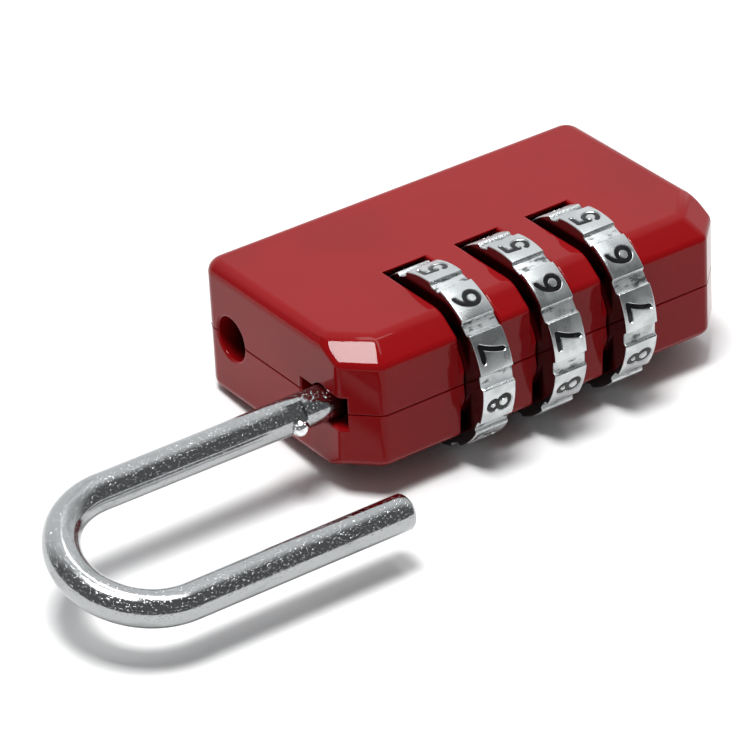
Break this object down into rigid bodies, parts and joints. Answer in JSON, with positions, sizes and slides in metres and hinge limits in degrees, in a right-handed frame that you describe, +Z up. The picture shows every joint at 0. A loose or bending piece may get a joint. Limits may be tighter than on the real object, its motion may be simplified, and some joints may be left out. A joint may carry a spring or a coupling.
{
  "type": "luggage combination padlock",
  "caption": "Small red combination padlock with number wheels along one side and a steel shackle that slides out and turns to open.",
  "frame": {"origin": "under the middle of the whole lock as it lies with its shackle out, level with the lowest points of the wheels", "axes": "+X along the case away from the shackle, +Y from the wheels towards the back of the case, +Z up through the case's thickness"},
  "size_m": [0.0658, 0.0304, 0.0148],
  "materials": {
    "red_lacquer": "thick gloss red lacquer over die-cast zinc",
    "chromed_rod": "bright chrome plate over steel rod, with fine drawing marks",
    "cast_wheel": "nickel-plated zinc casting, satin pads with a fine grain",
    "black_enamel": "gloss black enamel filled into the digits",
    "hub_brass": "turned yellow metal, lightly oiled",
    "spring_steel": "drawn spring wire, lightly oiled",
    "leaf_steel": "rolled spring strip",
    "pin_steel": "ground steel pins",
    "washer_steel": "stamped washers, zinc plated"
  },
  "bodies": {
    "case": {"upper_case": "red_lacquer", "lower_case": "red_lacquer", "case_pins": "pin_steel", "stop_washer": "washer_steel", "shackle_spring": "spring_steel", "reset_spring": "spring_steel", "detent_spring": "leaf_steel"},
    "spring_guide": {"spring_guide": "washer_steel"},
    "shackle": {"shackle": "chromed_rod", "shackle_peg": "chromed_rod"},
    "code_change": {"reset_washer": "washer_steel"},
    "dial_1": {"dial_1": "cast_wheel", "numerals_1": "black_enamel"},
    "hub_1": {"hub_1": "hub_brass"},
    "dial_2": {"dial_2": "cast_wheel", "numerals_2": "black_enamel"},
    "hub_2": {"hub_2": "hub_brass"},
    "dial_3": {"dial_3": "cast_wheel", "numerals_3": "black_enamel"},
    "hub_3": {"hub_3": "hub_brass"}
  },
  "joints": [
    {"name": "shackle_slide", "type": "slide", "parent": "case", "child": "spring_guide", "axis": [1, 0, 0], "range_m": [0, 0.006], "stiffness_N_per_m": 120, "springref_m": -0.008, "deforming": ["shackle_spring"]},
    {"name": "shackle_turn", "type": "hinge", "parent": "spring_guide", "child": "shackle", "pos_m": [-0.00445, -0.00147, 0.0074], "axis": [1, 0, 0], "range_deg": [-196.7, 163.3]},
    {"name": "code_change_slide", "type": "slide", "parent": "case", "child": "code_change", "axis": [1, 0, 0], "range_m": [0, 0.0022], "stiffness_N_per_m": 300, "springref_m": -0.004, "deforming": ["reset_spring"]},
    {"name": "dial_1_turn", "type": "hinge", "parent": "case", "child": "dial_1", "pos_m": [-0.00445, -0.00147, 0.0074], "axis": [1, 0, 0], "continuous": true, "deforming": ["detent_spring"]},
    {"name": "hub_1_turn", "type": "hinge", "parent": "code_change", "child": "hub_1", "pos_m": [-0.00445, -0.00147, 0.0074], "axis": [1, 0, 0], "continuous": true},
    {"name": "dial_2_turn", "type": "hinge", "parent": "case", "child": "dial_2", "pos_m": [-0.00445, -0.00147, 0.0074], "axis": [1, 0, 0], "continuous": true, "deforming": ["detent_spring"]},
    {"name": "hub_2_turn", "type": "hinge", "parent": "code_change", "child": "hub_2", "pos_m": [-0.00445, -0.00147, 0.0074], "axis": [1, 0, 0], "continuous": true},
    {"name": "dial_3_turn", "type": "hinge", "parent": "case", "child": "dial_3", "pos_m": [-0.00445, -0.00147, 0.0074], "axis": [1, 0, 0], "continuous": true, "deforming": ["detent_spring"]},
    {"name": "hub_3_turn", "type": "hinge", "parent": "code_change", "child": "hub_3", "pos_m": [-0.00445, -0.00147, 0.0074], "axis": [1, 0, 0], "continuous": true}
  ],
  "couplings": [
    {"joint": "hub_1_turn", "follows": "dial_1_turn", "ratio": 1},
    {"joint": "hub_2_turn", "follows": "dial_2_turn", "ratio": 1},
    {"joint": "hub_3_turn", "follows": "dial_3_turn", "ratio": 1}
  ]
}
